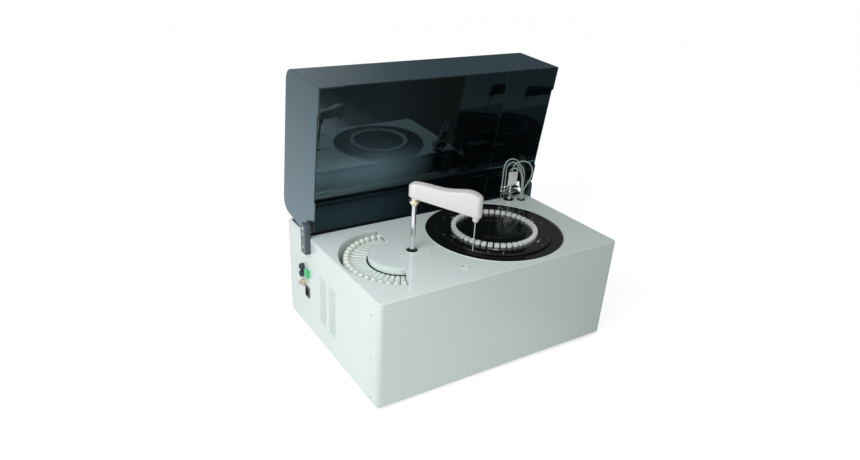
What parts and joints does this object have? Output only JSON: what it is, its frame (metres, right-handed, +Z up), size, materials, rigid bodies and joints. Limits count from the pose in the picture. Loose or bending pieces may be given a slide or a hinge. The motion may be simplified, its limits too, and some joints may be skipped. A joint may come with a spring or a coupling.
{
  "type": "benchtop chemistry analyzer",
  "caption": "Benchtop chemistry analyzer: box housing, open smoked lid on side hinges, turning reaction disk with cuvettes, reagent carousel, swinging probe arm and a lifting wash head.",
  "frame": {"origin": "centre of the base pan's underside, 10 mm above the bottom of the feet", "axes": "+X to the right as seen from the front, +Y to the back, +Z up"},
  "size_m": [0.73, 0.5379, 0.68],
  "materials": {
    "white_panel": "satin white powder coat",
    "front_panel": "satin cool grey-white paint",
    "gloss_black": "gloss black",
    "rear_deck_dark": "satin blue-black",
    "smoked_lid": "gloss, dark smoked",
    "bracket_slate": "satin slate blue",
    "polished_steel": "polished",
    "brass_collar": "machined",
    "cream_plastic": "smooth warm white",
    "cuvette_white": "moulded translucent white",
    "bottle_plastic": "translucent pale green-white",
    "rubber_black": "matt",
    "matt_black": "matt",
    "green_plastic": "moulded",
    "beige_plastic": "moulded",
    "grey_metal": "plain",
    "tube_plastic": "clear soft tube"
  },
  "bodies": {
    "housing": {"base_pan": "grey_metal", "probe_column": "grey_metal", "reaction_motor": "grey_metal", "reagent_motor": "grey_metal", "power_supply": "grey_metal", "syringe_pump": "grey_metal", "foot_front_left": "rubber_black", "foot_front_right": "rubber_black", "foot_rear_left": "rubber_black", "foot_rear_right": "rubber_black", "front_cover": "front_panel", "side_panel_left": "white_panel", "side_panel_right": "white_panel", "rear_panel": "white_panel", "deck_panel": "white_panel", "connector_panel": "white_panel", "probe_wash_well": "white_panel", "rear_deck": "rear_deck_dark", "hinge_bracket_left": "bracket_slate", "hinge_bracket_right": "bracket_slate", "hinge_disc_left": "matt_black", "hinge_disc_right": "matt_black", "reagent_tub": "matt_black", "power_inlet": "matt_black", "port_upper": "matt_black", "port_lower": "matt_black", "wash_guide": "matt_black", "tube_gland": "matt_black", "photometer": "matt_black", "reaction_bowl": "gloss_black", "signal_connector": "green_plastic", "drain_fitting": "beige_plastic"},
    "lid": {"lid_shell": "smoked_lid", "hinge_leaf_left": "matt_black", "hinge_leaf_right": "matt_black"},
    "reaction_rotor": {"reaction_disk": "gloss_black", "reaction_hub": "grey_metal", "cuvette_strip_1": "cuvette_white", "cuvette_strip_2": "cuvette_white", "cuvette_strip_3": "cuvette_white", "cuvette_strip_4": "cuvette_white", "cuvette_strip_5": "cuvette_white", "cuvette_strip_6": "cuvette_white"},
    "reagent_carousel": {"reagent_tray": "grey_metal", "reagent_bottles": "bottle_plastic"},
    "reagent_drive": {"reagent_drive_wheel": "rubber_black"},
    "probe_lifter": {"probe_carriage": "grey_metal"},
    "probe": {"probe_shaft": "polished_steel", "probe_collar": "brass_collar", "probe_arm": "cream_plastic", "probe_nozzle": "cream_plastic", "probe_needle": "polished_steel"},
    "wash_head": {"wash_shaft": "polished_steel", "wash_holder": "polished_steel", "wash_sleeves": "cream_plastic", "wash_tube_1": "tube_plastic", "wash_tube_2": "tube_plastic", "wash_tube_3": "tube_plastic", "wash_tube_4": "tube_plastic", "wash_tube_5": "tube_plastic"}
  },
  "joints": [
    {"name": "lid_hinge", "type": "hinge", "parent": "housing", "child": "lid", "pos_m": [0, 0.1195, 0.301], "axis": [1, 0, 0], "range_deg": [0, 82.5]},
    {"name": "reaction_spin", "type": "hinge", "parent": "housing", "child": "reaction_rotor", "pos_m": [0.102, -0.052, 0.276], "axis": [0, 0, 1], "continuous": true},
    {"name": "reagent_spin", "type": "hinge", "parent": "housing", "child": "reagent_carousel", "pos_m": [-0.19, -0.063, 0.156], "axis": [0, 0, 1], "continuous": true},
    {"name": "drive_spin", "type": "hinge", "parent": "housing", "child": "reagent_drive", "pos_m": [-0.2637, -0.063, 0.16], "axis": [0, 0, 1], "continuous": true},
    {"name": "probe_lift", "type": "slide", "parent": "housing", "child": "probe_lifter", "axis": [0, 0, 1], "range_m": [-0.01, 0.009]},
    {"name": "probe_swing", "type": "hinge", "parent": "probe_lifter", "child": "probe", "pos_m": [-0.152, -0.055, 0.143], "axis": [0, 0, 1], "range_deg": [-165, 55]},
    {"name": "wash_lift", "type": "slide", "parent": "housing", "child": "wash_head", "axis": [0, 0, 1], "range_m": [0, 0.025]}
  ],
  "couplings": [
    {"joint": "drive_spin", "follows": "reagent_spin", "ratio": 8.4}
  ]
}
